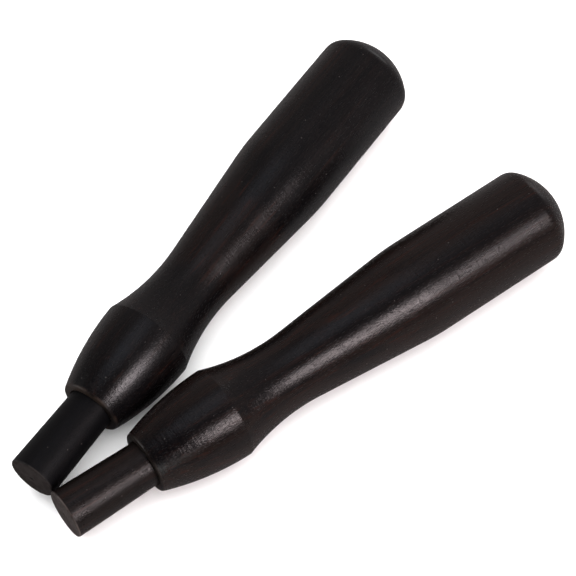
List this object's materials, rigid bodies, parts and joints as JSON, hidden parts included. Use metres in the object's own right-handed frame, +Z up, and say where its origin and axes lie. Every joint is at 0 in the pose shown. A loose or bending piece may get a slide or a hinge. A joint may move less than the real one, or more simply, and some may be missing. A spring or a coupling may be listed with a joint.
{
  "type": "claves",
  "caption": "Loose turned hardwood striking sticks with domed grips, hollow waists, swollen heads and glued dowel pegs, laid in a narrow V.",
  "frame": {"origin": "on the surface that the sticks lie on, under the middle of the pair's box", "axes": "+Z up from that surface; +X along the middle of the V, from the pegs to the butts; stick A is on the +Y side"},
  "size_m": [0.2002, 0.113, 0.0345],
  "materials": {
    "handle_wood_a": "oiled and buffed near-black hardwood, satin",
    "peg_wood_a": "black dowel, matt to satin, paler end grain",
    "handle_wood_b": "oiled and buffed near-black brown hardwood, satin",
    "peg_wood_b": "dark brown dowel, satin, paler end grain"
  },
  "bodies": {
    "stick_a": {"handle_a": "handle_wood_a", "peg_a": "peg_wood_a"},
    "stick_b": {"handle_b": "handle_wood_b", "peg_b": "peg_wood_b"}
  },
  "joints": [
    {"name": "stick_b_lift", "type": "slide", "parent": "stick_a", "child": "stick_b", "axis": [0, 0, 1], "range_m": [0, 0.08]}
  ]
}
